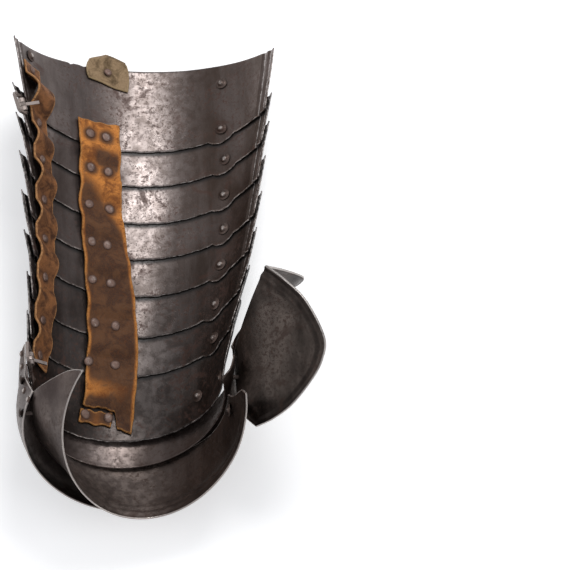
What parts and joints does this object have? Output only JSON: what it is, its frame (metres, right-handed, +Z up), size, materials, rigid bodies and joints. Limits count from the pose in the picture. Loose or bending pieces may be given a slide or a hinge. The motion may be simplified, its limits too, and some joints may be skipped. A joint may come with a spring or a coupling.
{
  "type": "articulated cuisse with knee cop",
  "caption": "Steel thigh defence of overlapping lames on riveted leathers, with a hinged winged knee cop and side buckles, lying on its front.",
  "frame": {"origin": "middle of the underside, on the surface that the piece lies on", "axes": "+Y along the leg to the hip, +X to the outer side with the wing, +Z up through the open back of the leg"},
  "size_m": [0.2756, 0.4888, 0.1672],
  "materials": {
    "steel_plate": "old hammered plate, dark brown-grey patina with rust pits and bright worn edges",
    "steel_fittings": "old forged iron, brown and dull",
    "rivets": "pinkish grey worn iron heads with rust round them",
    "tan_leather": "orange-brown dry leather, dark stains round the rivets",
    "olive_leather": "dull olive-brown leather"
  },
  "bodies": {
    "thigh": {"top_plate": "steel_plate", "thigh_lame_1": "steel_plate", "thigh_lame_2": "steel_plate", "thigh_lame_3": "steel_plate", "thigh_lame_4": "steel_plate", "thigh_lame_5": "steel_plate", "thigh_lame_6": "steel_plate", "lower_thigh_plate": "steel_plate", "middle_strap": "tan_leather", "strap_scrap": "tan_leather", "side_strap": "tan_leather", "top_tab": "olive_leather", "strap_rivet_1_inner": "rivets", "strap_rivet_1_outer": "rivets", "strap_rivet_2_inner": "rivets", "strap_rivet_2_outer": "rivets", "strap_rivet_3_inner": "rivets", "strap_rivet_3_outer": "rivets", "strap_rivet_4_inner": "rivets", "strap_rivet_4_outer": "rivets", "strap_rivet_5_inner": "rivets", "strap_rivet_5_outer": "rivets", "strap_rivet_6_inner": "rivets", "strap_rivet_6_outer": "rivets", "strap_rivet_7_inner": "rivets", "strap_rivet_7_outer": "rivets", "strap_rivet_8_inner": "rivets", "strap_rivet_8_outer": "rivets", "side_strap_rivet_1": "rivets", "side_strap_rivet_2": "rivets", "side_strap_rivet_3": "rivets", "side_strap_rivet_4": "rivets", "side_strap_rivet_5": "rivets", "side_strap_rivet_6": "rivets", "side_strap_rivet_7": "rivets", "side_strap_rivet_8": "rivets", "sliding_rivet_1": "rivets", "sliding_rivet_2": "rivets", "sliding_rivet_3": "rivets", "sliding_rivet_4": "rivets", "sliding_rivet_5": "rivets", "sliding_rivet_6": "rivets", "sliding_rivet_7": "rivets", "top_rivet": "rivets", "side_top_rivet": "rivets", "lower_rivet": "rivets", "tab_rivet": "rivets", "upper_pivot_inner": "rivets", "upper_pivot_outer": "rivets", "upper_buckle_chape": "steel_fittings", "lower_buckle_chape": "steel_fittings"},
    "upper_knee_lame": {"upper_knee_lame": "steel_plate"},
    "cop": {"knee_cop": "steel_plate", "lower_pivot_inner": "rivets", "lower_pivot_outer": "rivets"},
    "lower_knee_lame": {"lower_knee_lame": "steel_plate"},
    "upper_buckle_frame": {"upper_buckle_frame": "steel_fittings"},
    "lower_buckle_frame": {"lower_buckle_frame": "steel_fittings"},
    "upper_buckle_tongue": {"upper_buckle_tongue": "steel_fittings"},
    "lower_buckle_tongue": {"lower_buckle_tongue": "steel_fittings"}
  },
  "joints": [
    {"name": "upper_knee_hinge", "type": "hinge", "parent": "thigh", "child": "upper_knee_lame", "pos_m": [-0.01942, -0.12653, 0.08436], "axis": [-0.9871, 0.004, 0.1598], "range_deg": [0, 8]},
    {"name": "cop_hinge", "type": "hinge", "parent": "upper_knee_lame", "child": "cop", "pos_m": [-0.01942, -0.12653, 0.08436], "axis": [-0.9871, 0.004, 0.1598], "range_deg": [0, 8]},
    {"name": "lower_knee_hinge", "type": "hinge", "parent": "cop", "child": "lower_knee_lame", "pos_m": [-0.01942, -0.15752, 0.08514], "axis": [-0.9871, 0.004, 0.1598], "range_deg": [0, 20]},
    {"name": "upper_buckle_hinge", "type": "hinge", "parent": "thigh", "child": "upper_buckle_frame", "pos_m": [-0.12544, 0.14496, 0.10233], "axis": [-0.2478, 0.9475, 0.2021], "range_deg": [-30, 30]},
    {"name": "upper_tongue_hinge", "type": "hinge", "parent": "thigh", "child": "upper_buckle_tongue", "pos_m": [-0.12544, 0.14496, 0.10233], "axis": [-0.2478, 0.9475, 0.2021], "range_deg": [-90, 6]},
    {"name": "lower_buckle_hinge", "type": "hinge", "parent": "thigh", "child": "lower_buckle_frame", "pos_m": [-0.1226, -0.10533, 0.09482], "axis": [-0.0491, 0.9765, -0.2098], "range_deg": [-18, 30]},
    {"name": "lower_tongue_hinge", "type": "hinge", "parent": "thigh", "child": "lower_buckle_tongue", "pos_m": [-0.1226, -0.10533, 0.09482], "axis": [-0.0491, 0.9765, -0.2098], "range_deg": [-90, 6]}
  ]
}
